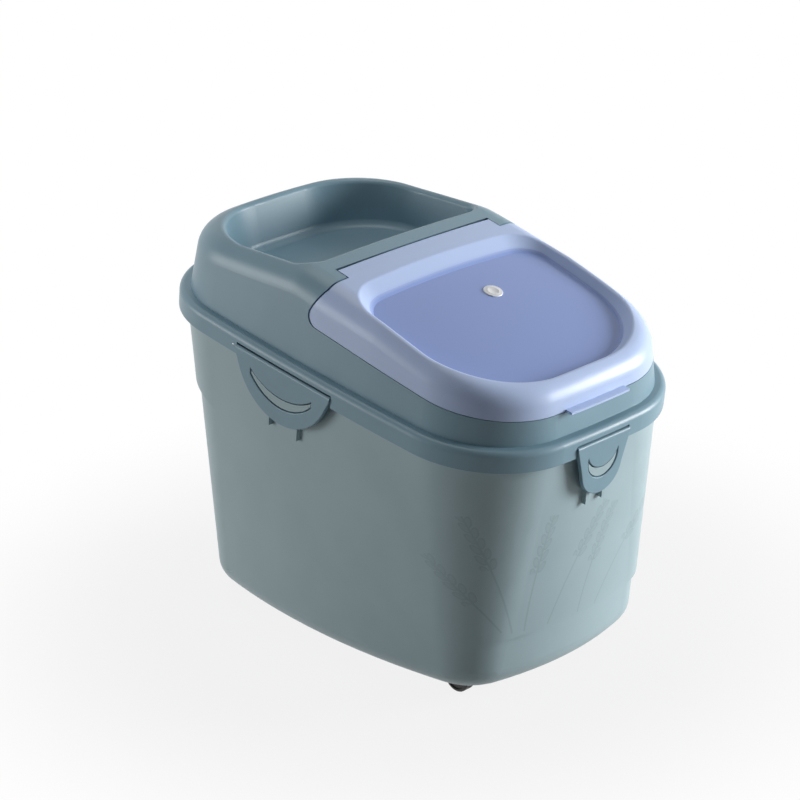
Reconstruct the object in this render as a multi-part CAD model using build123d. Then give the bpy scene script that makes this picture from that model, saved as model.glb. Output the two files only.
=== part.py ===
from build123d import *
import os
from math import asin, atan, cos, degrees, radians, sin, sqrt, tan

# Grain storage container: a tapered tub on four rollers, a clip-on lid with a cup tray at the rear,
# and a translucent flip cover over the pouring opening at the front.
# Millimetres, +Z up, the pouring end at -Y, origin on the floor under the middle of the tub.

# Driving dimensions: overall
LID_LENGTH = 400.0
LID_WIDTH = 250.0
BASE_LENGTH = 340.0
BASE_WIDTH = 237.0
RIM_HEIGHT = 220.0
RIM_TILT = 7.75
GROUND_GAP = 12.0
RIM_CORNER_R = 83.0
BASE_CORNER_R = 46.0
RIM_BOW = (2.5, 2.5)
BASE_BOW = (12.0, 16.0)

# Tub
TUB_WALL = 2.6
TUB_FLOOR = 3.0
BASE_EDGE_R = 20.0
SWEEP_STEP = 3.0
SWEEP_LINE = (
    (-240, 44), (-172, 46), (-118, 49), (-53, 62), (17, 86), (57, 122), (93, 154), (130, 172), (240, 186),
)

# Lid skirt and seat
SKIRT_HEIGHT = 17.0
SKIRT_WALL = 4.4
SKIRT_EDGE_R = 5.0
SKIRT_GAP = 1.6
RIM_RISE = 9.7
SEAL_THICKNESS = 3.0
SEAL_GAP = 0.3
SEAL_SIDE_GAP = 0.5
RIB_GAP = 1.6
RIB_THICKNESS = 2.0
RIB_DEPTH = 7.0

# Lid dome, measured from the skirt's lower edge
LEDGE = 9.0
DOME_REFERENCE = 100.0
DOME_SIDE_DRAFT = 6.0
DOME_FRONT_DRAFT = 12.0
DOME_REAR_DRAFT = 7.0
RIDGE_POSITION = 30.0
RIDGE_HEIGHT = 88.5
FRONT_SLOPE = 9.5
FRONT_BOW_R = 1100.0
RIDGE_R = 60.0
CROWN_R = 2000.0
FRONT_EDGE_R = 18.0
REAR_EDGE_R = 22.0
BLEND_FRONT = -60.0
LID_WALL = 2.6

# Cup tray
TRAY_FRONT = 30.0
TRAY_REAR = 171.0
TRAY_HALF_WIDTH = 95.0
TRAY_DEPTH = 40.0
TRAY_DRAFT = 12.0
TRAY_FRONT_R = 18.0
TRAY_REAR_R = 68.0
TRAY_FLOOR_R = 8.0
TRAY_EDGE_R = 4.0

# Flip cover
COVER_WALL = 2.4
COVER_EDGE_HEIGHT = 50.0
COVER_EDGE_SLOPE = 4.5
COVER_EDGE_GAP = 0.6
COVER_REAR_GAP = 1.8
COVER_CORNER_R = 9.0
COVER_WING = 13.0
TAB_HALF_WIDTH = 82.0
TAB_REAR = 10.8
TAB_REAR_GAP = 2.2
TAB_SIDE_GAP = 0.8
DISH_DEPTH = 9.5
DISH_SLOPE = 0.8
DISH_REAR_SLOPE = 1.9
DISH_HALF_WIDTH = 98.0
DISH_FRONT = -172.0
DISH_REAR = -17.0
DISH_FRONT_R = 72.0
DISH_REAR_R = 28.0
DISH_EDGE_R = 3.0
OPENING_GROW = 4.2
OPENING_REAR_GROW = 9.0
COVER_SEAL_THICKNESS = 1.9
COVER_SEAL_WIDTH = 2.4
LIP_WIDTH = 64.0
LIP_REACH = 6.0
LIP_THICKNESS = 2.6
BADGE_R = 7.8
BADGE_THICKNESS = 1.0
BADGE_X = 15.0
BADGE_Y = -63.0

# Flip cover hinge
HINGE_POSITION = 6.0
HINGE_DEPTH = 7.0
HINGE_SETBACK = 7.8
HINGE_PIN_R = 1.5
HINGE_CLEARANCE = 0.08
PRESS_CLEARANCE = 0.02
PIN_GRIP = 4.5
PIN_END_WALL = 3.0
KNUCKLE_R = 3.4
KNUCKLE_LENGTH = 22.0
KNUCKLE_WEB = 5.0
TROUGH_REAR_R = 9.6
TROUGH_FRONT_R = 4.4

# Latches: the side pair is long, the end pair short
LATCH_HEIGHT = 44.0
LATCH_THICKNESS = 3.0
LATCH_STANDOFF = 0.3
LATCH_PIN_HEIGHT = 6.5
LATCH_PIN_DEPTH = 2.0
LATCH_PIN_R = 0.9
LATCH_PIN_GRIP = 5.0
LATCH_BARREL_R = 2.2
LATCH_TOP_R = 2.0
LATCH_EDGE_R = 0.7
LATCH_END_GAP = 0.5
LATCH_SWING_R = 3.7
LATCH_FLANK_DROP = 2.0
SIDE_LATCH_LENGTH = 108.0
SIDE_LATCH_CENTRE = 20.0
SIDE_LATCH_TAPER = 4.0
SIDE_LATCH_FLANK = 10.0
SIDE_SLOT_LENGTH = 70.0
SIDE_RIB_SPACING = 32.0
END_LATCH_LENGTH = 57.0
END_LATCH_TAPER = 6.5
END_LATCH_FLANK = 24.0
END_SLOT_LENGTH = 33.0
END_RIB_SPACING = 18.0
SLOT_END_TOP = 10.0
SLOT_END_BOTTOM = 15.0
SLOT_TOP = 21.5
SLOT_BOTTOM = 30.5
CATCH_GAP = 1.0
CATCH_RECESS = 0.7
RIB_WIDTH = 3.0
RIB_TOP = 34.0
RIB_TAIL = 9.0
RIB_BACK_GAP = 0.6

# Rollers
WHEEL_R = 12.5
WHEEL_WIDTH = 10.0
WHEEL_EDGE_R = 1.5
WHEEL_X = 75.0
WHEEL_Y = 120.0
WHEEL_SIDE_GAP = 1.0
WHEEL_ROUND_GAP = 2.0
AXLE_R = 2.0
AXLE_CLEARANCE = 0.08
AXLE_GRIP = 4.0
WELL_SIDE_WALL = 5.5
WELL_WALL = 2.5

# A length that only has to reach past what it cuts
REACH = 300.0

# Sizes that follow from the ones above
SKIRT_OVERHANG = SKIRT_WALL + SKIRT_GAP
SEAL_LOW = RIM_RISE + SEAL_GAP
FLANGE_LOW = SEAL_LOW + SEAL_THICKNESS
RIB_OUTER = SKIRT_OVERHANG + TUB_WALL + RIB_GAP
RIB_INNER = RIB_OUTER + RIB_THICKNESS
FRONT_FALL = tan(radians(FRONT_SLOPE))
REAR_FALL = tan(radians(RIM_TILT))
COVER_REAR = HINGE_POSITION - HINGE_SETBACK
SHOULDER_FRONT = COVER_REAR + COVER_REAR_GAP
CROSSBAR_FRONT = TAB_REAR + TAB_REAR_GAP
FRONT_CHORD = (RIDGE_POSITION + LID_LENGTH / 2) / cos(radians(FRONT_SLOPE))
RIDGE_SLOPE = radians(FRONT_SLOPE) - asin(FRONT_CHORD / (2 * FRONT_BOW_R))
BOW_Y = RIDGE_POSITION + FRONT_BOW_R * sin(RIDGE_SLOPE)
BOW_Z = RIDGE_HEIGHT - FRONT_BOW_R * cos(RIDGE_SLOPE)
HINGE_HEIGHT = BOW_Z + sqrt(FRONT_BOW_R**2 - (HINGE_POSITION - BOW_Y) ** 2) - HINGE_DEPTH
HINGE_PIN_LENGTH = 2 * (TAB_HALF_WIDTH + TAB_SIDE_GAP + PIN_GRIP)
DECK_DEPTH = COVER_WALL + SEAL_GAP + COVER_SEAL_THICKNESS
AXLE_LENGTH = WHEEL_WIDTH + 2 * (WHEEL_SIDE_GAP + AXLE_GRIP)

# The lid's own frame: +Y to the rear along the rim, +Z square to it, zero at the skirt's lower edge
RIM = Plane(
    origin=(0, 0, GROUND_GAP + RIM_HEIGHT),
    x_dir=(1, 0, 0),
    z_dir=(0, -sin(radians(RIM_TILT)), cos(radians(RIM_TILT))),
)

# The cover's slope and the level of the tray, both in the lid's frame
SLOPE = Plane(
    origin=(0, 0, RIDGE_HEIGHT - RIDGE_POSITION * FRONT_FALL),
    x_dir=(1, 0, 0),
    z_dir=(0, -sin(radians(FRONT_SLOPE)), cos(radians(FRONT_SLOPE))),
)
LEVEL = Plane(
    origin=(0, RIDGE_POSITION, RIDGE_HEIGHT),
    x_dir=(1, 0, 0),
    z_dir=(0, sin(radians(RIM_TILT)), cos(radians(RIM_TILT))),
)

os.makedirs("parts", exist_ok=True)


def outline(half_width, half_length, corner_r, bow):
    """Rounded outline of eight tangent arcs: bowed sides, bowed ends and round corners."""
    side_bow, end_bow = bow
    side, end = radians(side_bow), radians(end_bow)
    across, along = half_width - corner_r, half_length - corner_r
    det = sin(side) * sin(end) - (1 - cos(end)) * (1 - cos(side))
    side_extra = (along * sin(end) - across * (1 - cos(end))) / det
    end_extra = (across * sin(side) - along * (1 - cos(side))) / det
    side_r, end_r = side_extra + corner_r, end_extra + corner_r
    corner_x, corner_y = end_extra * sin(end), side_extra * sin(side)
    turn = 90 - side_bow - end_bow
    arcs = [
        CenterArc((half_width - side_r, 0), side_r, -side_bow, 2 * side_bow),
        CenterArc((corner_x, corner_y), corner_r, side_bow, turn),
        CenterArc((0, half_length - end_r), end_r, 90 - end_bow, 2 * end_bow),
        CenterArc((-corner_x, corner_y), corner_r, 90 + end_bow, turn),
        CenterArc((side_r - half_width, 0), side_r, 180 - side_bow, 2 * side_bow),
        CenterArc((-corner_x, -corner_y), corner_r, 180 + side_bow, turn),
        CenterArc((0, end_r - half_length), end_r, 270 - end_bow, 2 * end_bow),
        CenterArc((corner_x, -corner_y), corner_r, 270 + end_bow, turn),
    ]
    return make_face(arcs)


def rim_outline(inset):
    """Lid outline in the rim plane, moved inwards."""
    return outline(LID_WIDTH / 2 - inset, LID_LENGTH / 2 - inset, RIM_CORNER_R - inset, RIM_BOW)


def base_outline(inset):
    """Outline of the tub's base, moved inwards."""
    return outline(BASE_WIDTH / 2 - inset, BASE_LENGTH / 2 - inset, BASE_CORNER_R - inset, BASE_BOW)


def d_outline(half_width, front, rear, front_r, rear_r):
    """Flat D: a box with one radius at its front corners and another at its rear ones."""
    box = Pos(0, (front + rear) / 2) * Rectangle(2 * half_width, rear - front)
    box = fillet(box.vertices().group_by(Axis.Y)[0], front_r)
    return fillet(box.vertices().group_by(Axis.Y)[-1], rear_r)


def slab(face, low, high):
    """Face in the XY plane made a straight solid between two heights."""
    return Pos(0, 0, low) * extrude(face, high - low)


def rim_ring(outer, inner, low, high):
    """Straight ring between two insets of the lid outline."""
    return slab(rim_outline(outer), low, high) - slab(rim_outline(inner), low, high)


def across_x(face, half_width):
    """Face in the YZ plane made a solid across X."""
    return Pos(-half_width, 0, 0) * extrude(face, 2 * half_width, dir=(1, 0, 0))


def side_face(points, corner, corner_r):
    """Closed side profile of (y, z) points with one rounded corner."""
    face = Plane.YZ * make_face(Polyline(*points, close=True))
    spot = Vector(0, *points[corner])
    return fillet([v for v in face.vertices() if (Vector(v) - spot).length < 0.01], corner_r)


def between(front, rear):
    """Slice of space between two places along the object."""
    return Pos(0, (front + rear) / 2, 0) * Box(2 * REACH, rear - front, 2 * REACH)


# Tub
def tub_body(inset, bottom, edge_r):
    """Tapered body from the base to the sloping rim, with a rounded bottom edge."""
    base = Pos(0, 0, bottom) * base_outline(inset)
    rim = RIM.offset(RIM_RISE) * rim_outline(SKIRT_OVERHANG + inset)
    body = loft([base, rim], ruled=True)
    return fillet(body.edges().group_by(Axis.Z)[0], edge_r)


def above_sweep(lift):
    """Everything above the sweeping line on the tub's sides."""
    points = [(y, z + GROUND_GAP + lift) for y, z in SWEEP_LINE]
    top = GROUND_GAP + RIM_HEIGHT + REACH
    frame = Polyline(points[-1], (points[-1][0], top), (points[0][0], top), points[0])
    return across_x(Plane.YZ * make_face([Spline(*points), frame]), REACH)


def make_tub():
    """Tub: outer body with its catches, the space inside it and the wells of the rollers."""
    floor = GROUND_GAP + TUB_FLOOR
    inner_r = BASE_EDGE_R - TUB_WALL
    body = tub_body(SWEEP_STEP, GROUND_GAP, BASE_EDGE_R)
    body += tub_body(0, GROUND_GAP, BASE_EDGE_R) & above_sweep(0)
    tub = body
    for latch in LATCHES:
        tub += RIM.location * latch.place * latch.catch()
    space = tub_body(SWEEP_STEP + TUB_WALL, floor, inner_r)
    space += tub_body(TUB_WALL, floor, inner_r) & above_sweep(TUB_WALL)
    tub -= space
    room = make_well(0, 0) + across_axle(AXLE_R + PRESS_CLEARANCE, AXLE_LENGTH)
    for well in at_wheels(make_well(WELL_SIDE_WALL, WELL_WALL)).values():
        tub += well & body
    for well in at_wheels(room).values():
        tub -= well
    return tub


# Rollers
def at_wheels(shape):
    """The same shape at each of the four rollers, by corner."""
    spots = {}
    for end, y in (("front", -WHEEL_Y), ("rear", WHEEL_Y)):
        for side, x in (("left", -WHEEL_X), ("right", WHEEL_X)):
            spots[f"{end}_{side}"] = Pos(x, y, WHEEL_R) * shape
    return spots


def across_axle(radius, length):
    """Cylinder along an axle."""
    return Rot(0, 90, 0) * Cylinder(radius, length)


def make_well(side_wall, round_wall):
    """Room that a roller turns in, made thicker by walls and open below."""
    width = WHEEL_WIDTH + 2 * (WHEEL_SIDE_GAP + side_wall)
    reach = WHEEL_R + WHEEL_ROUND_GAP + round_wall
    return Box(width, 2 * reach, 2 * reach)


def make_wheel():
    """Roller with rounded edges and a bore for its axle."""
    wheel = across_axle(WHEEL_R, WHEEL_WIDTH)
    wheel = fillet(wheel.edges().filter_by(GeomType.CIRCLE), WHEEL_EDGE_R)
    return wheel - across_axle(AXLE_R + AXLE_CLEARANCE, WHEEL_WIDTH)


# Lid dome
def dome_walls(inset):
    """Drafted walls of the dome, taken up past its top."""
    rise = DOME_REFERENCE - SKIRT_HEIGHT
    side_in = rise * tan(radians(DOME_SIDE_DRAFT))
    front_in = rise * tan(radians(DOME_FRONT_DRAFT))
    rear_in = rise * tan(radians(DOME_REAR_DRAFT))
    foot = LEDGE + inset
    half_width = LID_WIDTH / 2 - foot - side_in
    half_length = LID_LENGTH / 2 - foot - (front_in + rear_in) / 2
    top = outline(half_width, half_length, RIM_CORNER_R - foot - side_in, RIM_BOW)
    low = Pos(0, 0, SKIRT_HEIGHT) * rim_outline(foot)
    high = Pos(0, (front_in - rear_in) / 2, DOME_REFERENCE) * top
    return loft([low, high], ruled=True) + slab(rim_outline(foot), 0, SKIRT_HEIGHT)


def under_top(inset):
    """Everything under the lid's crowned top: the bowed front slope, the ridge and the level rear."""
    level = RIDGE_HEIGHT - inset / cos(radians(RIM_TILT))
    front, rear = RIDGE_POSITION - REACH, RIDGE_POSITION + REACH
    below_rear = Polyline(
        (front, level + REACH * REAR_FALL), (rear, level - REACH * REAR_FALL), (rear, -REACH), (front, -REACH),
        close=True,
    )
    face = make_face(below_rear) & Pos(BOW_Y, BOW_Z) * Circle(FRONT_BOW_R - inset)
    ridge = face.vertices().sort_by_distance((RIDGE_POSITION, RIDGE_HEIGHT))[0]
    face = Plane.YZ * fillet(ridge, RIDGE_R - inset)
    axis = Axis((0, 0, RIDGE_HEIGHT - CROWN_R), (0, 1, 0))
    sweep = 2 * degrees(atan(LID_WIDTH / CROWN_R))
    return revolve(face.rotate(axis, -sweep / 2), axis, sweep)


def top_edges(solid, cut_front, cut_rear):
    """Upper edges round a slice of the dome, without those on its cut faces."""
    upper = ShapeList([face for face in solid.faces() if face.normal_at().Z > 0.9])
    edges = []
    for edge in upper.edges():
        middle = edge @ 0.5
        on_cut = min(abs(middle.Y - cut_front), abs(middle.Y - cut_rear)) < 0.01
        beside = [face for face in solid.faces() if edge in face.edges()]
        if not on_cut and any(abs(face.normal_at(middle).Z) < 0.7 for face in beside):
            edges.append(edge)
    return edges


def dome(inset):
    """Dome with small rounded edges at the front, large ones at the rear and a blend between them."""
    whole = dome_walls(inset) & under_top(inset)
    front = whole & between(-REACH, BLEND_FRONT)
    front = fillet(top_edges(front, -REACH, BLEND_FRONT), FRONT_EDGE_R - inset)
    rear = whole & between(SHOULDER_FRONT, REACH)
    rear = fillet(top_edges(rear, SHOULDER_FRONT, REACH), REAR_EDGE_R - inset)
    blend = loft([front.faces().sort_by(Axis.Y)[-1], rear.faces().sort_by(Axis.Y)[0]], ruled=True)
    return front + blend + rear


# Flip cover and pouring opening
def cover_zone(drop, rear):
    """Everything over the flip cover's sloping lower edge and ahead of its rear edge with its wings."""
    slope = tan(radians(COVER_EDGE_SLOPE))
    low = COVER_EDGE_HEIGHT - drop
    wing = COVER_WING + rear - COVER_REAR
    points = [
        (-REACH, low - REACH * slope),
        (wing, low + wing * slope),
        (rear, HINGE_HEIGHT),
        (rear, REACH),
        (-REACH, REACH),
    ]
    return across_x(side_face(points, 1, COVER_CORNER_R), REACH)


def tab_zone(side_gap, front, rear):
    """Space of the cover's rear tab between the lid's shoulders, over the hinge line."""
    size = Box(2 * (TAB_HALF_WIDTH + side_gap), rear - front, REACH)
    return Pos(0, (front + rear) / 2, HINGE_HEIGHT + REACH / 2) * size


def dish_outline(grow, rear_grow):
    """Outline of the dish in the cover's slope, moved outwards."""
    front, rear = DISH_FRONT - grow, DISH_REAR + rear_grow
    return d_outline(DISH_HALF_WIDTH + grow, front, rear, DISH_FRONT_R + grow, DISH_REAR_R + grow)


def dish_tool(wall):
    """Tapered plug with the shape of the dish's walls, made larger by a wall's thickness."""
    sections = []
    for level in (-2 * DISH_DEPTH, DISH_DEPTH):
        grows = [wall * sqrt(1 + slope**2) + level * slope for slope in (DISH_SLOPE, DISH_REAR_SLOPE)]
        sections.append(SLOPE.offset(level) * dish_outline(*grows))
    return loft(sections, ruled=True)


def opening_tool(grow):
    """Straight plug with the shape of the pouring opening."""
    face = SLOPE.offset(-3 * DISH_DEPTH) * dish_outline(OPENING_GROW + grow, OPENING_REAR_GROW + grow)
    return extrude(face, 4 * DISH_DEPTH)


def hinge_cylinder(radius, length, middle=0.0):
    """Solid round the flip cover's hinge line."""
    return Pos(middle, HINGE_POSITION, HINGE_HEIGHT) * Rot(0, 90, 0) * Cylinder(radius, length)


def trough(wall):
    """Room for the cover's knuckles and for the swing of its tab, made thicker by the wall."""
    length = 2 * (TAB_HALF_WIDTH + TAB_SIDE_GAP + wall)
    swing = hinge_cylinder(TROUGH_REAR_R + wall, length) & between(HINGE_POSITION, REACH)
    return swing + hinge_cylinder(TROUGH_FRONT_R + wall, length)


def make_lip():
    """Finger lip along the middle of the cover's front edge."""
    bottom = COVER_EDGE_HEIGHT - (LID_LENGTH / 2) * tan(radians(COVER_EDGE_SLOPE))
    wall_in = LEDGE + (bottom - SKIRT_HEIGHT) * tan(radians(DOME_FRONT_DRAFT))
    plate = slab(rim_outline(wall_in - LIP_REACH), bottom, bottom + LIP_THICKNESS)
    return plate & Pos(0, -LID_LENGTH / 2, bottom) * Box(LIP_WIDTH, LID_LENGTH / 2, REACH)


def make_cover():
    """Flip cover: cap with a sunken window, a rear tab on knuckles and a front lift lip."""
    window = dish_tool(0) - under_top(DISH_DEPTH)
    shell = DOME - window
    shell = fillet(new_edges(DOME, window, combined=shell), DISH_EDGE_R)
    inside = UNDER_COVER - (dish_tool(COVER_WALL) - under_top(DISH_DEPTH + COVER_WALL))
    zone = cover_zone(0, COVER_REAR)
    cover = (shell - inside) & (zone + tab_zone(0, BLEND_FRONT, TAB_REAR))
    end = TAB_HALF_WIDTH - KNUCKLE_LENGTH / 2
    for middle in (-end, 0, end):
        web = Pos(middle, HINGE_POSITION, HINGE_HEIGHT + REACH / 2) * Box(KNUCKLE_LENGTH, KNUCKLE_WEB, REACH)
        cover += hinge_cylinder(KNUCKLE_R, KNUCKLE_LENGTH, middle) + (web & UNDER_COVER)
    cover -= hinge_cylinder(HINGE_PIN_R + HINGE_CLEARANCE, 2 * TAB_HALF_WIDTH)
    return cover + ((make_lip() & zone) - UNDER_COVER)


def make_cover_seal():
    """Rubber strip along the edge of the pouring opening."""
    ring = opening_tool(COVER_SEAL_WIDTH) - opening_tool(0)
    return (dome(COVER_WALL + SEAL_GAP) - DECK) & ring


def make_badge():
    """Blank disc on the window, bowed with it."""
    disc = SLOPE.location * Pos(BADGE_X, BADGE_Y, 0) * Cylinder(BADGE_R, 4 * DISH_DEPTH)
    return disc & (under_top(DISH_DEPTH - BADGE_THICKNESS) - under_top(DISH_DEPTH))


# Tray, level when the lid is on the tub
def tray_tool(grow):
    """Tapered plug with the shape of the tray, rounded at its floor."""
    sections = []
    for level in (-TRAY_DEPTH - grow, TRAY_DEPTH):
        spread = grow + level * tan(radians(TRAY_DRAFT))
        front, rear = TRAY_FRONT - RIDGE_POSITION - spread, TRAY_REAR - RIDGE_POSITION + spread
        face = d_outline(TRAY_HALF_WIDTH + spread, front, rear, TRAY_FRONT_R + spread, TRAY_REAR_R + spread)
        sections.append(LEVEL.offset(level) * face)
    plug = loft(sections, ruled=True)
    floor = plug.faces().sort_by(Axis(LEVEL.origin, LEVEL.z_dir))[0]
    return fillet(floor.edges(), TRAY_FLOOR_R + grow)


# Latches in their own frame: X along the pin, +Y away from the tub, +Z up, zero on the pin
class Latch:
    """One latch: its sizes and its place on the lid."""

    def __init__(self, name, turn, spot, sizes, hang):
        self.name = name
        self.length, self.taper, self.flank, self.slot, self.rib_spacing = sizes
        self.pin_place = Pos(spot[0], spot[1], LATCH_PIN_HEIGHT) * Rot(0, 0, turn)
        self.place = self.pin_place * Rot(-hang, 0, 0)

    def crescent(self):
        """Smile-shaped outline of the slot."""
        half = self.slot / 2
        top, low = -SLOT_END_TOP, -SLOT_END_BOTTOM
        edges = [
            ThreePointArc((-half, top), (0, -SLOT_TOP), (half, top)),
            Line((half, top), (half, low)),
            ThreePointArc((half, low), (0, -SLOT_BOTTOM), (-half, low)),
            Line((-half, low), (-half, top)),
        ]
        return make_face(edges)

    def plate(self):
        """Outline of the latch, seen from outside."""
        half = self.length / 2
        right = [(half, LATCH_BARREL_R), (half, -LATCH_FLANK_DROP), (half - self.taper, -self.flank)]
        left = [(-x, y) for x, y in reversed(right)]
        return make_face([Polyline(*left, *right), ThreePointArc(right[-1], (0, -LATCH_HEIGHT), left[0])])

    def stand(self, face, low, high):
        """Outline seen from outside made a solid between two distances from the tub."""
        return extrude(Plane(origin=(0, low, 0), x_dir=(-1, 0, 0), z_dir=(0, 1, 0)) * face, high - low)

    def body(self):
        """The latch itself."""
        outer = LATCH_STANDOFF + LATCH_THICKNESS
        shape = self.stand(self.plate(), LATCH_STANDOFF, outer)
        top = shape.faces().sort_by(Axis.Z)[-1].edges().sort_by(Axis.Y)[-1]
        shape = fillet(top, LATCH_TOP_R)
        shape -= self.stand(self.crescent(), 0, outer)
        rim = shape.faces().sort_by(Axis.Y)[-1].edges()
        shape = fillet([edge for edge in rim if (edge @ 0.5).Z < -LATCH_FLANK_DROP], LATCH_EDGE_R)
        shape += across_axle(LATCH_BARREL_R, self.length)
        return shape - across_axle(LATCH_PIN_R + HINGE_CLEARANCE, self.length)

    def pin(self, extra=0.0):
        """Its pin, held in the skirt at both ends."""
        return across_axle(LATCH_PIN_R + extra, self.length + 2 * (LATCH_END_GAP + LATCH_PIN_GRIP))

    def notch(self):
        """Room for the latch in the skirt, with the holes for its pin."""
        deep = 2 * (SKIRT_WALL + LATCH_PIN_DEPTH)
        room = Box(self.length + 2 * LATCH_END_GAP, deep, LATCH_HEIGHT)
        return Pos(0, 0, LATCH_SWING_R - LATCH_HEIGHT / 2) * room + self.pin(PRESS_CLEARANCE)

    def catch(self):
        """Crescent and ribs on the tub's wall that the latch snaps over."""
        deep = -3 * SKIRT_OVERHANG
        crescent = offset(self.crescent(), -CATCH_GAP, kind=Kind.INTERSECTION)
        shape = self.stand(crescent, deep, LATCH_STANDOFF + LATCH_THICKNESS - CATCH_RECESS)
        low = LATCH_HEIGHT + RIB_TAIL
        rib = Pos(0, (deep - RIB_BACK_GAP) / 2, -(RIB_TOP + low) / 2)
        rib *= Box(RIB_WIDTH, -RIB_BACK_GAP - deep, low - RIB_TOP)
        for x in (-self.rib_spacing / 2, self.rib_spacing / 2):
            shape += Pos(x, 0, 0) * rib
        return shape


def make_latches():
    """The four latches, hung along the tub's walls."""
    side_spot = LID_WIDTH / 2 - LATCH_PIN_DEPTH
    end_spot = LID_LENGTH / 2 - LATCH_PIN_DEPTH
    rise = RIM_HEIGHT + RIM_RISE
    side_run = (LID_WIDTH - BASE_WIDTH) / 2 - SKIRT_OVERHANG
    rim_half = LID_LENGTH / 2 - SKIRT_OVERHANG
    end_run = rim_half * cos(radians(RIM_TILT)) - BASE_LENGTH / 2
    end_rise = rim_half * sin(radians(RIM_TILT))
    side_hang = degrees(atan(side_run / rise))
    front_hang = degrees(atan(end_run / (rise - end_rise))) - RIM_TILT
    rear_hang = degrees(atan(end_run / (rise + end_rise))) + RIM_TILT
    side = (SIDE_LATCH_LENGTH, SIDE_LATCH_TAPER, SIDE_LATCH_FLANK, SIDE_SLOT_LENGTH, SIDE_RIB_SPACING)
    end = (END_LATCH_LENGTH, END_LATCH_TAPER, END_LATCH_FLANK, END_SLOT_LENGTH, END_RIB_SPACING)
    return [
        Latch("left", 90, (-side_spot, SIDE_LATCH_CENTRE), side, side_hang),
        Latch("right", -90, (side_spot, SIDE_LATCH_CENTRE), side, side_hang),
        Latch("front", 180, (0, -end_spot), end, front_hang),
        Latch("rear", 0, (0, end_spot), end, rear_hang),
    ]


# Lid
def make_lid():
    """Lid: skirt, dome with the cup tray, deck round the pouring opening and hinge trough."""
    tray = tray_tool(0)
    body = DOME - tray
    body = fillet(new_edges(DOME, tray, combined=body), TRAY_EDGE_R)
    recess = cover_zone(COVER_EDGE_GAP, SHOULDER_FRONT) - DECK
    body = body - recess - tab_zone(TAB_SIDE_GAP, SHOULDER_FRONT, CROSSBAR_FRONT) - trough(0)
    band = slab(rim_outline(0), 0, SKIRT_HEIGHT)
    body += fillet(band.edges().group_by(Axis.Z)[-1], SKIRT_EDGE_R)
    keep = tray_tool(LID_WALL) + trough(LID_WALL)
    grip = PIN_GRIP + PIN_END_WALL
    side = TAB_HALF_WIDTH + TAB_SIDE_GAP + grip / 2
    for x in (-side, side):
        spot = Pos(x, (SHOULDER_FRONT + CROSSBAR_FRONT) / 2, HINGE_HEIGHT)
        keep += spot * Box(grip, CROSSBAR_FRONT - SHOULDER_FRONT, 2 * TROUGH_REAR_R)
    space = dome(LID_WALL) - cover_zone(COVER_EDGE_GAP + LID_WALL, SHOULDER_FRONT + LID_WALL)
    space += dome(DECK_DEPTH + LID_WALL)
    lid = body - (space - keep) - opening_tool(0)
    lid -= slab(rim_outline(SKIRT_WALL), 0, FLANGE_LOW)
    lid += rim_ring(SKIRT_WALL, RIB_INNER, FLANGE_LOW, SKIRT_HEIGHT)
    lid += rim_ring(RIB_OUTER, RIB_INNER, FLANGE_LOW - RIB_DEPTH, FLANGE_LOW)
    lid -= hinge_cylinder(HINGE_PIN_R + PRESS_CLEARANCE, HINGE_PIN_LENGTH)
    for latch in LATCHES:
        lid -= latch.pin_place * latch.notch()
    return lid


LATCHES = make_latches()
DOME = dome(0)
UNDER_COVER = dome(COVER_WALL)
DECK = dome(DECK_DEPTH)

on_lid = {
    "lid": make_lid(),
    "lid_seal": rim_ring(SKIRT_WALL + SEAL_SIDE_GAP, RIB_OUTER - SEAL_SIDE_GAP, SEAL_LOW, FLANGE_LOW),
    "flip_cover": make_cover(),
    "flip_cover_seal": make_cover_seal(),
    "flip_hinge_pin": hinge_cylinder(HINGE_PIN_R, HINGE_PIN_LENGTH),
    "cover_badge": make_badge(),
}
for latch in LATCHES:
    on_lid[f"latch_{latch.name}"] = latch.place * latch.body()
    on_lid[f"latch_{latch.name}_pin"] = latch.pin_place * latch.pin()

parts = {"tub": make_tub()}
for name, shape in on_lid.items():
    parts[name] = RIM.location * shape
for corner, shape in at_wheels(make_wheel()).items():
    parts[f"wheel_{corner}"] = shape
for corner, shape in at_wheels(across_axle(AXLE_R, AXLE_LENGTH)).items():
    parts[f"axle_{corner}"] = shape

for name, shape in parts.items():
    export_step(shape, f"parts/{name}.step")
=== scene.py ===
import logging
import math
from dataclasses import dataclass
from enum import Enum
from typing import Union

import bmesh
import bpy
from mathutils import Matrix, Quaternion, Vector


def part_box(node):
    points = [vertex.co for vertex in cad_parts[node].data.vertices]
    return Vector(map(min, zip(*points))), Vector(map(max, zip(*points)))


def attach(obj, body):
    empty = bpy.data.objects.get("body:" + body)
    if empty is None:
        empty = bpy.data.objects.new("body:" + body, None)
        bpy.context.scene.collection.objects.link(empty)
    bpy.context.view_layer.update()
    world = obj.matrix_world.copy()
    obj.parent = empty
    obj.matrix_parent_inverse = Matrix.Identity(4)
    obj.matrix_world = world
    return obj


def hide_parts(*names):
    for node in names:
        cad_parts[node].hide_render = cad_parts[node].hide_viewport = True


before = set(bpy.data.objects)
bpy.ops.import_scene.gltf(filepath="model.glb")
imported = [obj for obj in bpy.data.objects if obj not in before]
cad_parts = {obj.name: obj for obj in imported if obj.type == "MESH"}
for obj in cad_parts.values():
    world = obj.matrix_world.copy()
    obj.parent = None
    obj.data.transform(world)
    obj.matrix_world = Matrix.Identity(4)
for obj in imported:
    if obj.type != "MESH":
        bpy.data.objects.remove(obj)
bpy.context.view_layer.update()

LOG = logging.getLogger("grain_container")
MM = 0.001
MERGE_GAP = 0.001 * MM
SHARP_ANGLE = math.radians(40)
PLASTIC_IOR = 1.49
WHITE = (1.0, 1.0, 1.0, 1.0)

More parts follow.
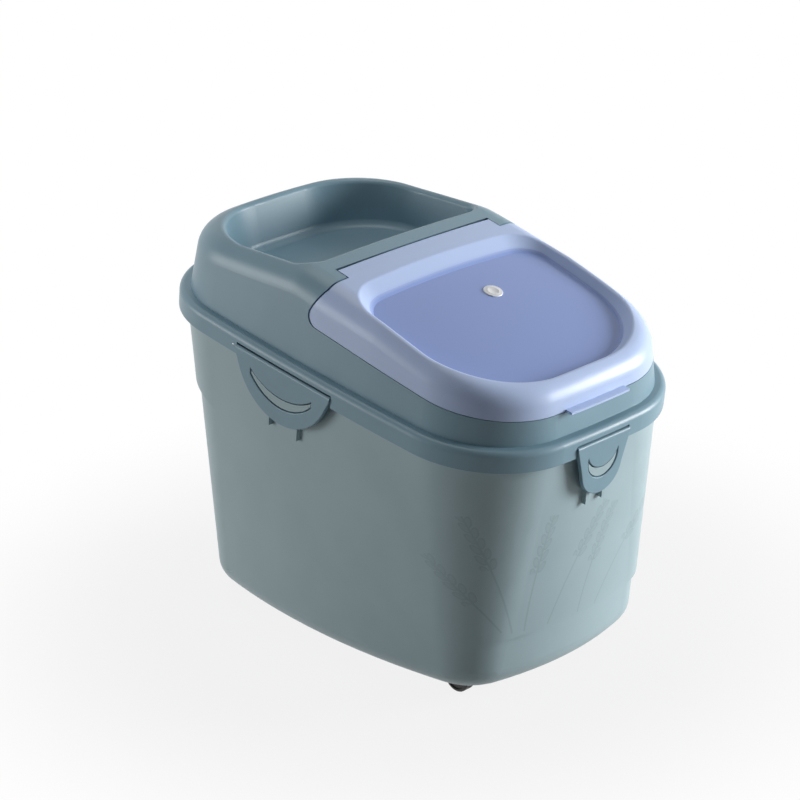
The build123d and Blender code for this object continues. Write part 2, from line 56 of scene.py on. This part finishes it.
Number = Union["Value", float]
Colour = tuple[float, float, float, float]
Pair = tuple[float, float]
Triple = tuple[float, float, float]


def tone(red: int, green: int, blue: int) -> Colour:
    """Turn an sRGB screen colour into the linear colour that a shader takes.

    Args:
        red: Red from 0 to 255.
        green: Green from 0 to 255.
        blue: Blue from 0 to 255.

    Returns:
        Linear red, green and blue, with an alpha of 1.
    """
    linear = []
    for channel in (red, green, blue):
        share = channel / 255
        linear.append(share / 12.92 if share <= 0.04045 else ((share + 0.055) / 1.055) ** 2.4)
    return (linear[0], linear[1], linear[2], 1.0)


class Value:
    """A number that varies over a surface: an output socket with Python arithmetic."""

    def __init__(self, graph: "Graph", socket: bpy.types.NodeSocket) -> None:
        """Keep the socket and the graph that its maths goes into."""
        self.graph = graph
        self.socket = socket

    def math(self, operation: str, *operands: Number) -> "Value":
        """Add one Math node.

        Args:
            operation: The Math node's operation.
            operands: Its values or links, in order.

        Returns:
            The node's result.
        """
        node = self.graph.node("ShaderNodeMath", {"operation": operation}, dict(enumerate(operands)))
        return Value(self.graph, node.outputs[0])

    def __add__(self, other: Number) -> "Value":
        """Sum."""
        return self.math("ADD", self, other)

    def __radd__(self, other: Number) -> "Value":
        """Sum, reflected."""
        return self.math("ADD", other, self)

    def __sub__(self, other: Number) -> "Value":
        """Difference."""
        return self.math("SUBTRACT", self, other)

    def __rsub__(self, other: Number) -> "Value":
        """Difference, reflected."""
        return self.math("SUBTRACT", other, self)

    def __mul__(self, other: Number) -> "Value":
        """Product."""
        return self.math("MULTIPLY", self, other)

    def __rmul__(self, other: Number) -> "Value":
        """Product, reflected."""
        return self.math("MULTIPLY", other, self)

    def __truediv__(self, other: Number) -> "Value":
        """Quotient."""
        return self.math("DIVIDE", self, other)

    def __abs__(self) -> "Value":
        """Size without its sign."""
        return self.math("ABSOLUTE", self)

    def __lt__(self, other: Number) -> "Value":
        """One where the value is below the other, else zero."""
        return self.math("LESS_THAN", self, other)

    def __gt__(self, other: Number) -> "Value":
        """One where the value is above the other, else zero."""
        return self.math("GREATER_THAN", self, other)

    def __or__(self, other: Number) -> "Value":
        """The larger of two values, which joins two masks."""
        return self.math("MAXIMUM", self, other)

    def root(self) -> "Value":
        """Square root."""
        return self.math("SQRT", self)

    def fraction(self) -> "Value":
        """Part after the decimal point."""
        return self.math("FRACT", self)

    def ramp(self, low: float, high: float, start: float = 0.0, end: float = 1.0) -> "Value":
        """Smooth step between two values.

        Args:
            low: Where the step begins.
            high: Where it ends.
            start: The result up to low.
            end: The result from high on.

        Returns:
            The stepped value.
        """
        node = self.graph.node(
            "ShaderNodeMapRange",
            {"interpolation_type": "SMOOTHSTEP"},
            {"Value": self, "From Min": low, "From Max": high, "To Min": start, "To Max": end},
        )
        return Value(self.graph, node.outputs["Result"])


class Graph:
    """The nodes of one material or of the world."""

    def __init__(self, tree: bpy.types.NodeTree) -> None:
        """Start from an empty node tree."""
        self.tree = tree
        tree.nodes.clear()

    def node(self, kind: str, settings: dict | None = None, inputs: dict | None = None) -> bpy.types.Node:
        """Add one node.

        Args:
            kind: The node's type.
            settings: Its own settings, which are set first.
            inputs: Values or links of its sockets, by name or place.

        Returns:
            The new node.
        """
        made = self.tree.nodes.new(kind)
        for key, value in (settings or {}).items():
            setattr(made, key, value)
        for key, value in (inputs or {}).items():
            if isinstance(value, Value):
                value = value.socket
            if isinstance(value, bpy.types.NodeSocket):
                self.tree.links.new(value, made.inputs[key])
            else:
                made.inputs[key].default_value = value
        return made

    def place(self) -> bpy.types.NodeSocket:
        """Object coordinates, in metres."""
        return self.node("ShaderNodeTexCoord").outputs["Object"]

    def axes(self) -> tuple[Value, Value, Value]:
        """Object coordinates as three values."""
        split = self.node("ShaderNodeSeparateXYZ", None, {"Vector": self.place()})
        return tuple(Value(self, split.outputs[axis]) for axis in "XYZ")

    def noise(self, size: float, detail: float = 2.0, stretch: Triple = (1, 1, 1)) -> Value:
        """Soft noise with features of about one size.

        Args:
            size: Feature size in metres.
            detail: Octaves of finer noise.
            stretch: How much longer the features are along each axis.

        Returns:
            Noise around one half.
        """
        scale = tuple(1 / (size * longer) for longer in stretch)
        spot = self.node("ShaderNodeMapping", None, {"Vector": self.place(), "Scale": scale})
        made = self.node(
            "ShaderNodeTexNoise", None, {"Vector": spot.outputs["Vector"], "Scale": 1.0, "Detail": detail}
        )
        return Value(self, made.outputs[0])

    def mix(self, share: Number, first: object, second: object) -> bpy.types.NodeSocket:
        """Mix two colours.

        Args:
            share: How much of the second colour shows.
            first: A colour or a colour socket.
            second: A colour or a colour socket.

        Returns:
            The mixed colour.
        """
        settings = {"data_type": "RGBA", "blend_type": "MIX"}
        return self.node("ShaderNodeMix", settings, {0: share, 6: first, 7: second}).outputs[2]

    def bump(self, height: Value, depth: float) -> bpy.types.NodeSocket:
        """Relief for a Normal socket.

        Args:
            height: Height from 0 to 1.
            depth: What a height of 1 stands for, in metres.

        Returns:
            The bent normal.
        """
        return self.node("ShaderNodeBump", None, {"Height": height, "Distance": depth}).outputs["Normal"]

    def surface(self, **inputs: object) -> None:
        """Finish the tree with one Principled surface.

        Args:
            inputs: Its sockets, with underscores for spaces.
        """
        named = {key.replace("_", " "): value for key, value in inputs.items()}
        shader = self.node("ShaderNodeBsdfPrincipled", None, named)
        self.node("ShaderNodeOutputMaterial", None, {"Surface": shader.outputs["BSDF"]})


def new_graph(name: str) -> tuple[bpy.types.Material, Graph]:
    """Start a material.

    Args:
        name: The material's name.

    Returns:
        The material and its graph.
    """
    material = bpy.data.materials.new(name)
    material.use_nodes = True
    return material, Graph(material.node_tree)


@dataclass(frozen=True)
class WheatSprig:
    """One printed ear of wheat on its stalk, in metres along and up the tub's front."""

    foot: float
    foot_height: float
    lean: float
    stalk: float
    bend: float
    ear: float = 48 * MM
    pitch: float = 9.5 * MM
    taper: float = 0.5
    grain_width: float = 2.3 * MM
    grain_length: float = 0.56
    grain_spread: float = 1.5
    grain_tilt: float = 24.0
    line: float = 0.45 * MM
    outline: float = 0.86
    outline_half: Pair = (0.10, 0.24)
    fill_edge: float = 0.70
    fill: float = 0.45

    def mask(self, along_wall: Value, height: Value) -> Value:
        """Where the sprig's ink lies.

        Args:
            along_wall: Distance along the tub's front, from its middle.
            height: Height over the floor.

        Returns:
            Ink from 0 to 1.
        """
        lean = math.radians(self.lean)
        out, up = along_wall - self.foot, height - self.foot_height
        along = out * math.sin(lean) + up * math.cos(lean)
        across = out * math.cos(lean) - up * math.sin(lean) - along * along * self.bend
        stalk = abs(across).ramp(self.line, 2 * self.line, 1.0, 0.0)
        stalk = stalk * (along > 0) * (along < self.stalk + self.ear)
        up_ear = along - self.stalk
        left = across < 0
        turn = ((up_ear / self.pitch + left * 0.5).fraction() - 0.5) * self.pitch
        narrow = 1 - up_ear * (self.taper / self.ear)
        aside = abs(across) - narrow * (self.grain_spread * self.grain_width)
        tilt = math.radians(self.grain_tilt)
        lengthwise = (turn * math.cos(tilt) + aside * math.sin(tilt)) / (self.grain_length * self.pitch)
        sidewise = (aside * math.cos(tilt) - turn * math.sin(tilt)) / self.grain_width
        ring = (lengthwise * lengthwise + sidewise * sidewise).root()
        rim = abs(ring - self.outline).ramp(*self.outline_half, 1.0, 0.0)
        fill = ring.ramp(self.fill_edge, self.outline, self.fill, 0.0)
        grain = (rim | fill) * (up_ear > 0) * (up_ear < self.ear)
        return stalk | grain


@dataclass(frozen=True)
class WheatPrint:
    """A loose fan of wheat sprigs printed on the tub's front, tone on tone."""

    centre_y: float = -80 * MM
    radius: float = 105 * MM
    strength: float = 0.24
    sprigs: tuple[WheatSprig, ...] = (
        WheatSprig(-76 * MM, 66 * MM, -30, 34 * MM, -2.0),
        WheatSprig(-68 * MM, 63 * MM, -10, 62 * MM, -1.2),
        WheatSprig(-58 * MM, 62 * MM, 7, 50 * MM, 1.0),
        WheatSprig(-36 * MM, 61 * MM, 24, 58 * MM, 1.2),
        WheatSprig(-2 * MM, 60 * MM, 12, 44 * MM, 1.6),
        WheatSprig(20 * MM, 60 * MM, 30, 54 * MM, 1.8),
    )

    def mask(self, graph: Graph) -> Value:
        """Ink of the whole print.

        Args:
            graph: The material's graph.

        Returns:
            Ink from 0 to the print's strength.
        """
        x, y, z = graph.axes()
        along_wall = x.math("ARCTAN2", x, self.centre_y - y) * self.radius
        ink = self.sprigs[0].mask(along_wall, z)
        for sprig in self.sprigs[1:]:
            ink = ink | sprig.mask(along_wall, z)
        return ink * (y < self.centre_y) * self.strength


@dataclass(frozen=True)
class MouldedPlastic:
    """Opaque satin plastic straight from the mould, with a fine grain and a faint mottle."""

    name: str
    colour: Colour
    shade: Colour
    roughness: float = 0.40
    grain: float = 0.7 * MM
    grain_depth: float = 0.02 * MM
    cloud: float = 60 * MM
    mottle: Pair = (0.25, 0.75)
    cloud_gloss: float = 0.08
    grain_gloss: float = 0.06
    ink: Colour | None = None
    print_work: WheatPrint | None = None

    def material(self) -> bpy.types.Material:
        """Build the material.

        Returns:
            The finish as a material.
        """
        made, graph = new_graph(self.name)
        cloud = graph.noise(self.cloud, detail=3.0)
        grain = graph.noise(self.grain)
        colour = graph.mix(cloud.ramp(*self.mottle), self.shade, self.colour)
        if self.print_work is not None and self.ink is not None:
            colour = graph.mix(self.print_work.mask(graph), colour, self.ink)
        mean = self.roughness - (self.cloud_gloss + self.grain_gloss) / 2
        rough = cloud * self.cloud_gloss + grain * self.grain_gloss + mean
        normal = graph.bump(grain, self.grain_depth)
        graph.surface(Base_Color=colour, Roughness=rough, Normal=normal, IOR=PLASTIC_IOR)
        return made


@dataclass(frozen=True)
class BowedTop:
    """The crowned and bowed surface of the lid's front, which the cover's window is sunk into."""

    centre_y: float = 230.8 * MM
    centre_z: float = -755.4 * MM
    radius: float = 1100.0 * MM
    crown: float = 2000.0 * MM

    def depth(self, graph: Graph) -> Value:
        """How far a point lies under the top.

        Args:
            graph: The material's graph.

        Returns:
            Depth in metres.
        """
        x, y, z = graph.axes()
        back = y - self.centre_y
        up = z + x * x / (2 * self.crown) - self.centre_z
        return self.radius - (back * back + up * up).root()

    def tilt(self, point: Vector) -> float:
        """Angle by which the top leans towards the front at a point, in radians."""
        return math.atan2(self.centre_y - point.y, point.z - self.centre_z)


@dataclass(frozen=True)
class FrostedPlastic:
    """Translucent plastic with a satin rim and a clearer sunken window, whose darker colour is painted shade
    for the dark inside seen through it.
    """

    name: str
    rim_colour: Colour
    # Painted shade: the window's darker colour stands for the shaded inside of the tub seen through the
    # clearer plastic.
    window_painted_shade_colour: Colour
    top: BowedTop
    rim_roughness: float = 0.34
    window_roughness: float = 0.16
    transmission: float = 0.10
    window_depth: Pair = (6.0 * MM, 9.0 * MM)
    window_middle: float = -101.0 * MM
    window_half: Pair = (96.0 * MM, 74.0 * MM)
    window_corners: Pair = (70.0 * MM, 24.0 * MM)
    window_edge: float = 4.0 * MM
    grain: float = 0.9 * MM
    grain_depth: float = 0.01 * MM
    cloud: float = 45 * MM
    cloud_gloss: float = 0.06

    def window(self, graph: Graph) -> Value:
        """Where the sunken window is.

        Args:
            graph: The material's graph.

        Returns:
            One in the window, zero on the rim.
        """
        x, y, _ = graph.axes()
        half_width, half_length = self.window_half
        front, rear = self.window_corners
        corner = (y > self.window_middle) * (rear - front) + front
        across = (abs(x) - half_width + corner) | 0.0
        along = (abs(y - self.window_middle) - half_length + corner) | 0.0
        outside = (across * across + along * along).root() - corner
        inside = outside.ramp(-self.window_edge, 0.0, 1.0, 0.0)
        return self.top.depth(graph).ramp(*self.window_depth) * inside

    def material(self) -> bpy.types.Material:
        """Build the material.

        Returns:
            The finish as a material.
        """
        made, graph = new_graph(self.name)
        window = self.window(graph)
        cloud = graph.noise(self.cloud)
        grain = graph.noise(self.grain)
        # The darker window colour mixed in here is painted shade for the dark inside seen through the window;
        # its lower roughness is the real clearer finish.
        colour = graph.mix(window, self.rim_colour, self.window_painted_shade_colour)
        gloss = window * (self.window_roughness - self.rim_roughness)
        rough = gloss + cloud * self.cloud_gloss + (self.rim_roughness - self.cloud_gloss / 2)
        normal = graph.bump(grain, self.grain_depth)
        graph.surface(
            Base_Color=colour,
            Roughness=rough,
            Normal=normal,
            IOR=PLASTIC_IOR,
            Transmission_Weight=self.transmission,
        )
        return made


@dataclass(frozen=True)
class MattFinish:
    """Matt silicone, rubber or plastic with a dusty bloom."""

    name: str
    colour: Colour
    bloom: Colour
    roughness: float = 0.6
    grain: float = 0.5 * MM
    grain_depth: float = 0.03 * MM
    dust: float = 6 * MM
    dust_range: Pair = (0.45, 0.85)
    dust_gloss: float = 0.15
    gloss_offset: float = 0.07

    def material(self) -> bpy.types.Material:
        """Build the material.

        Returns:
            The finish as a material.
        """
        made, graph = new_graph(self.name)
        dust = graph.noise(self.dust, detail=4.0)
        grain = graph.noise(self.grain)
        colour = graph.mix(dust.ramp(*self.dust_range), self.colour, self.bloom)
        rough = dust * self.dust_gloss + (self.roughness - self.gloss_offset)
        graph.surface(Base_Color=colour, Roughness=rough, Normal=graph.bump(grain, self.grain_depth))
        return made


@dataclass(frozen=True)
class DrawnSteel:
    """Bright pin wire with faint lines along its length."""

    name: str
    colour: Colour
    along: Triple
    roughness: float = 0.28
    line: float = 0.25 * MM
    line_depth: float = 0.01 * MM
    line_gloss: float = 0.16
    stain: float = 9 * MM
    stain_range: Pair = (0.3, 0.8)
    stain_shade: float = 0.8

    def material(self) -> bpy.types.Material:
        """Build the material.

        Returns:
            The finish as a material.
        """
        made, graph = new_graph(self.name)
        lines = graph.noise(self.line, stretch=self.along)
        stain = graph.noise(self.stain)
        dull = tuple(self.stain_shade * channel for channel in self.colour[:3]) + (1.0,)
        colour = graph.mix(stain.ramp(*self.stain_range), self.colour, dull)
        rough = lines * self.line_gloss + (self.roughness - self.line_gloss / 2)
        normal = graph.bump(lines, self.line_depth)
        graph.surface(Base_Color=colour, Roughness=rough, Metallic=1.0, Normal=normal)
        return made


class Corner(Enum):
    """The four rollers, by corner of the tub."""

    FRONT_LEFT = "front_left"
    FRONT_RIGHT = "front_right"
    REAR_LEFT = "rear_left"
    REAR_RIGHT = "rear_right"


class Side(Enum):
    """The four latches, by side of the lid."""

    LEFT = "left"
    RIGHT = "right"
    FRONT = "front"
    REAR = "rear"


def dress(node: str, material: bpy.types.Material) -> None:
    """Give a carried-over solid its finish.

    Args:
        node: The solid's name.
        material: Its material.
    """
    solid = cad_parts[node]
    solid.data.materials.clear()
    solid.data.materials.append(material)
    LOG.info("dressed %s with %s", node, material.name)


def new_piece(name: str, mesh: bmesh.types.BMesh, material: bpy.types.Material) -> bpy.types.Object:
    """Make a finished bmesh an object at the origin, shaded smooth up to its sharp edges.

    Args:
        name: The piece's name.
        mesh: Its shape, in metres in the shared frame.
        material: Its material.

    Returns:
        The new object.
    """
    data = bpy.data.meshes.new(name)
    for face in mesh.faces:
        face.smooth = True
    mesh.to_mesh(data)
    mesh.free()
    data.set_sharp_from_angle(angle=SHARP_ANGLE)
    data.materials.append(material)
    piece = bpy.data.objects.new(name, data)
    bpy.context.scene.collection.objects.link(piece)
    LOG.info("made %s with %d faces", name, len(data.polygons))
    return piece


def turned(profile: list[Pair], closed: bool, steps: int, place: Matrix) -> bmesh.types.BMesh:
    """Turn a profile about Z as on a lathe, then move it into place.

    Args:
        profile: Points as (radius, height) in metres.
        closed: True for a ring, False for a shape that ends on the axis.
        steps: Segments of the full turn.
        place: Where the turned shape goes.

    Returns:
        The turned shape.
    """
    mesh = bmesh.new()
    verts = [mesh.verts.new((radius, 0, height)) for radius, height in profile]
    pairs = list(zip(verts, verts[1:] + verts[:1] if closed else verts[1:]))
    edges = [mesh.edges.new(pair) for pair in pairs]
    bmesh.ops.spin(
        mesh, geom=verts + edges, cent=(0, 0, 0), axis=(0, 0, 1), angle=math.tau, steps=steps, use_merge=True
    )
    bmesh.ops.remove_doubles(mesh, verts=mesh.verts[:], dist=MERGE_GAP)
    bmesh.ops.recalc_face_normals(mesh, faces=mesh.faces[:])
    mesh.transform(place)
    return mesh


@dataclass
class Tub:
    """The tapered tub with its printed front."""

    finish: MouldedPlastic

    def build(self) -> None:
        """Dress the tub."""
        dress("tub", self.finish.material())


@dataclass
class Rollers:
    """Four rollers on their axles under the tub."""

    finish: MattFinish
    axle_finish: DrawnSteel
    bore: float = 2.08 * MM
    hub: float = 5.0 * MM
    rim: float = 9.6 * MM
    dish: float = 1.2 * MM
    dish_slope: float = 0.6
    edge: float = 1.5 * MM
    edge_step: int = 15
    groove: float = 0.7 * MM
    groove_half: float = 0.6 * MM
    groove_floor: float = 0.4
    steps: int = 72

    def profile(self, radius: float, half: float) -> list[Pair]:
        """Section of a roller, round its ring.

        Args:
            radius: The roller's outer radius.
            half: Half of its width.

        Returns:
            Points as (radius, height), anticlockwise.
        """
        side = [
            (self.bore, half),
            (self.hub, half),
            (self.hub + self.dish, half - self.dish),
            (self.rim, half - self.dish),
            (self.rim + self.dish_slope * self.dish, half),
            (radius - self.edge, half),
        ]
        for turn in range(self.edge_step, 90 + self.edge_step, self.edge_step):
            angle = math.radians(90 - turn)
            side.append((
                radius - self.edge + self.edge * math.cos(angle),
                half - self.edge + self.edge * math.sin(angle),
            ))
        side.append((radius, self.groove_half))
        side.append((radius - self.groove, self.groove_floor * self.groove_half))
        return side + [(r, -h) for r, h in reversed(side)]

    def build(self) -> None:
        """Model the rollers and dress their axles."""
        rubber = self.finish.material()
        steel = self.axle_finish.material()
        for corner in Corner:
            low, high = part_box(f"wheel_{corner.value}")
            middle, size = (low + high) / 2, high - low
            place = Matrix.Translation(middle) @ Matrix.Rotation(math.radians(90), 4, "Y")
            mesh = turned(self.profile(size.z / 2, size.x / 2), True, self.steps, place)
            roller = new_piece(f"roller_{corner.value}", mesh, rubber)
            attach(roller, f"wheel_{corner.value}")
            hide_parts(f"wheel_{corner.value}")
            dress(f"axle_{corner.value}", steel)


@dataclass
class Lid:
    """The lid with its seals and latches."""

    finish: MouldedPlastic
    seal_finish: MattFinish
    pin_across: DrawnSteel
    pin_along: DrawnSteel

    def build(self) -> None:
        """Dress the lid and what is fixed on it."""
        plastic = self.finish.material()
        dress("lid", plastic)
        rubber = self.seal_finish.material()
        for node in ("lid_seal", "flip_cover_seal"):
            dress(node, rubber)
        across, along = self.pin_across.material(), self.pin_along.material()
        dress("flip_hinge_pin", across)
        for side in Side:
            dress(f"latch_{side.value}", plastic)
            dress(f"latch_{side.value}_pin", along if side in (Side.LEFT, Side.RIGHT) else across)


@dataclass
class FlipCover:
    """The translucent flip cover and its blank badge."""

    finish: FrostedPlastic
    badge_finish: MattFinish
    badge_height: float = 1.0 * MM
    badge_edge: float = 0.4 * MM
    ring: float = 4.6 * MM
    ring_half: float = 0.35 * MM
    ring_rise: float = 0.15 * MM
    steps: int = 72

    def badge_profile(self, radius: float) -> list[Pair]:
        """Section of the badge from the middle of its top to the middle of its back.

        Args:
            radius: The badge's radius.

        Returns:
            Points as (radius, height) from its middle plane.
        """
        top, back = self.badge_height / 2, -self.badge_height / 2
        return [
            (0, top - self.ring_rise),
            (self.ring - 2 * self.ring_half, top - self.ring_rise),
            (self.ring - self.ring_half, top),
            (self.ring + self.ring_half, top),
            (self.ring + 2 * self.ring_half, top - self.ring_rise),
            (radius - self.badge_edge, top - self.ring_rise),
            (radius, top - self.ring_rise - self.badge_edge),
            (radius, back),
            (0, back),
        ]

    def build(self) -> None:
        """Dress the cover and model its badge."""
        dress("flip_cover", self.finish.material())
        low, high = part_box("cover_badge")
        middle = (low + high) / 2
        place = Matrix.Translation(middle) @ Matrix.Rotation(self.finish.top.tilt(middle), 4, "X")
        mesh = turned(self.badge_profile((high - low).x / 2), False, self.steps, place)
        badge = new_piece("window_badge", mesh, self.badge_finish.material())
        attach(badge, "flip_cover")
        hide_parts("cover_badge")


@dataclass(frozen=True)
class Softbox:
    """One square soft light: where it stands, how wide it is and its power."""

    name: str
    spot: Triple
    size: float
    watts: float

    def build(self, target: Triple) -> None:
        """Add the light.

        Args:
            target: What it is aimed at.
        """
        data = bpy.data.lights.new(self.name, "AREA")
        data.shape = "SQUARE"
        data.size = self.size
        data.energy = self.watts
        light = bpy.data.objects.new(self.name, data)
        light.location = self.spot
        light.rotation_mode = "QUATERNION"
        light.rotation_quaternion = (Vector(target) - Vector(self.spot)).to_track_quat("-Z", "Y")
        bpy.context.scene.collection.objects.link(light)


@dataclass
class Studio:
    """Camera, soft lights, white surround and pale floor."""

    eye: Triple = (-1.3389, -1.3846, 0.9957)
    target: Triple = (-0.0045, 0.0152, 0.1832)
    roll: float = -1.12
    lens: float = 117.67
    sensor: float = 36.0
    ambient: float = 0.025
    floor_half: float = 4.0
    floor_tone: Colour = (0.36, 0.36, 0.36, 1.0)
    floor_roughness: float = 0.9
    fade: Pair = (0.20, 0.48)
    lift: float = 0.86
    lamps: tuple[Softbox, ...] = (
        Softbox("light_right", (1.75, -1.45, 0.60), 1.0, 66.0),
        Softbox("light_left", (-1.55, 1.58, 0.50), 1.0, 18.0),
        Softbox("light_top", (0.10, 0.45, 2.20), 1.2, 12.0),
    )

    def camera(self) -> None:
        """Set up the camera at the photograph's angle."""
        data = bpy.data.cameras.new("camera")
        data.lens = self.lens
        data.sensor_width = self.sensor
        camera = bpy.data.objects.new("camera", data)
        eye = Vector(self.eye)
        aim = (Vector(self.target) - eye).to_track_quat("-Z", "Y")
        camera.rotation_mode = "QUATERNION"
        camera.location = eye
        camera.rotation_quaternion = aim @ Quaternion((0, 0, 1), math.radians(self.roll))
        bpy.context.scene.collection.objects.link(camera)
        bpy.context.scene.camera = camera

    def seen_white(self, graph: Graph) -> Value:
        """Tell the rays that show the surround itself from those that light the object.

        Args:
            graph: The material's or the world's graph.

        Returns:
            One for rays that show it, else zero.
        """
        path = graph.node("ShaderNodeLightPath").outputs
        camera, glossy, through = (
            Value(graph, path[name]) for name in ("Is Camera Ray", "Is Glossy Ray", "Is Transmission Ray")
        )
        return camera | glossy | through

    def surround(self) -> None:
        """White surround that lights the object gently."""
        world = bpy.data.worlds.new("surround")
        world.use_nodes = True
        graph = Graph(world.node_tree)
        seen = self.seen_white(graph)
        strength = seen * (1 - self.ambient) + self.ambient
        shader = graph.node("ShaderNodeBackground", None, {"Color": WHITE, "Strength": strength})
        graph.node("ShaderNodeOutputWorld", None, {"Surface": shader.outputs["Background"]})
        bpy.context.scene.world = world

    def floor(self) -> None:
        """Pale floor that keeps the shadow and fades to white."""
        mesh = bmesh.new()
        bmesh.ops.create_grid(mesh, x_segments=1, y_segments=1, size=self.floor_half)
        material, graph = new_graph("floor")
        x, y, _ = graph.axes()
        away = (x * x + y * y).root().ramp(*self.fade, self.lift, 1.0)
        plain = {"Base Color": self.floor_tone, "Roughness": self.floor_roughness}
        pale = graph.node("ShaderNodeBsdfPrincipled", None, plain)
        white = graph.node("ShaderNodeEmission", None, {"Color": WHITE, "Strength": 1.0})
        mixed = graph.node(
            "ShaderNodeMixShader",
            None,
            {0: self.seen_white(graph) * away, 1: pale.outputs["BSDF"], 2: white.outputs["Emission"]},
        )
        graph.node("ShaderNodeOutputMaterial", None, {"Surface": mixed.outputs["Shader"]})
        new_piece("floor", mesh, material)

    def build(self) -> None:
        """Set the whole stage."""
        bpy.context.scene.view_settings.view_transform = "Standard"
        self.camera()
        for lamp in self.lamps:
            lamp.build(self.target)
        self.surround()
        self.floor()


TUB_PLASTIC = MouldedPlastic(
    "tub_plastic_pale_teal",
    tone(166, 189, 195),
    tone(160, 183, 189),
    ink=tone(104, 128, 134),
    print_work=WheatPrint(),
)
LID_PLASTIC = MouldedPlastic("lid_plastic_teal", tone(127, 159, 174), tone(121, 153, 168), roughness=0.38)
# The second, darker colour is the window's painted shade, standing for the dark inside seen through it.
COVER_PLASTIC = FrostedPlastic("cover_plastic_lavender", tone(198, 218, 255), tone(149, 173, 233), BowedTop())
SEAL_RUBBER = MattFinish("seal_silicone", tone(214, 219, 218), tone(226, 229, 228), roughness=0.5)
ROLLER_RUBBER = MattFinish("roller_black", tone(24, 25, 27), tone(40, 41, 43), roughness=0.45)
BADGE_PLASTIC = MattFinish("badge_white", tone(236, 238, 240), tone(226, 229, 232), roughness=0.35)
STEEL = tone(200, 202, 205)
AXLE_STEEL = DrawnSteel("axle_steel", STEEL, (40, 1, 1))
PIN_ACROSS = DrawnSteel("pin_steel_across", STEEL, (40, 1, 1))
PIN_ALONG = DrawnSteel("pin_steel_along", STEEL, (1, 40, 1))


def main() -> None:
    """Build the container piece by piece and set the stage."""
    logging.basicConfig(level=logging.INFO, format="%(message)s")
    Studio().build()
    Tub(TUB_PLASTIC).build()
    Rollers(ROLLER_RUBBER, AXLE_STEEL).build()
    Lid(LID_PLASTIC, SEAL_RUBBER, PIN_ACROSS, PIN_ALONG).build()
    FlipCover(COVER_PLASTIC, BADGE_PLASTIC).build()
    bpy.context.view_layer.update()


if __name__ == "__main__":
    main()
